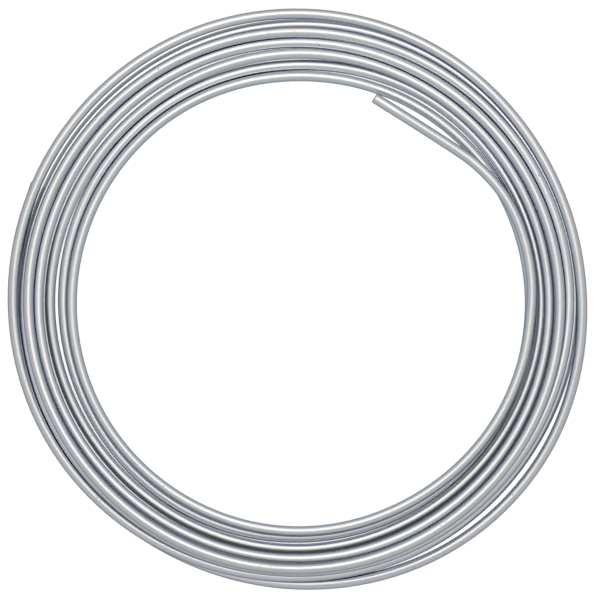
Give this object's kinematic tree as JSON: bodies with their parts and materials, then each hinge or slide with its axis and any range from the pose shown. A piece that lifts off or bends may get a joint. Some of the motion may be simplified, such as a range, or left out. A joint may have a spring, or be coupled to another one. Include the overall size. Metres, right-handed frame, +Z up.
{
  "type": "brake line coil",
  "caption": "Loose flat coil of thin plated steel tube with an open centre, square-cut ends and one end springing inwards.",
  "frame": {"origin": "centre of the coil's bounding box, on the floor it lies on", "axes": "+Z up through the coil's open centre, +Y towards the side where the free end lies, which points towards -X and +Y"},
  "size_m": [0.3512, 0.3524, 0.0242],
  "materials": {
    "plated_steel": "bright zinc plating, satin, cream highlight with cool grey flanks, light scuffs and specks"
  },
  "bodies": {
    "root": {"brake_tube": "plated_steel"}
  },
  "joints": []
}
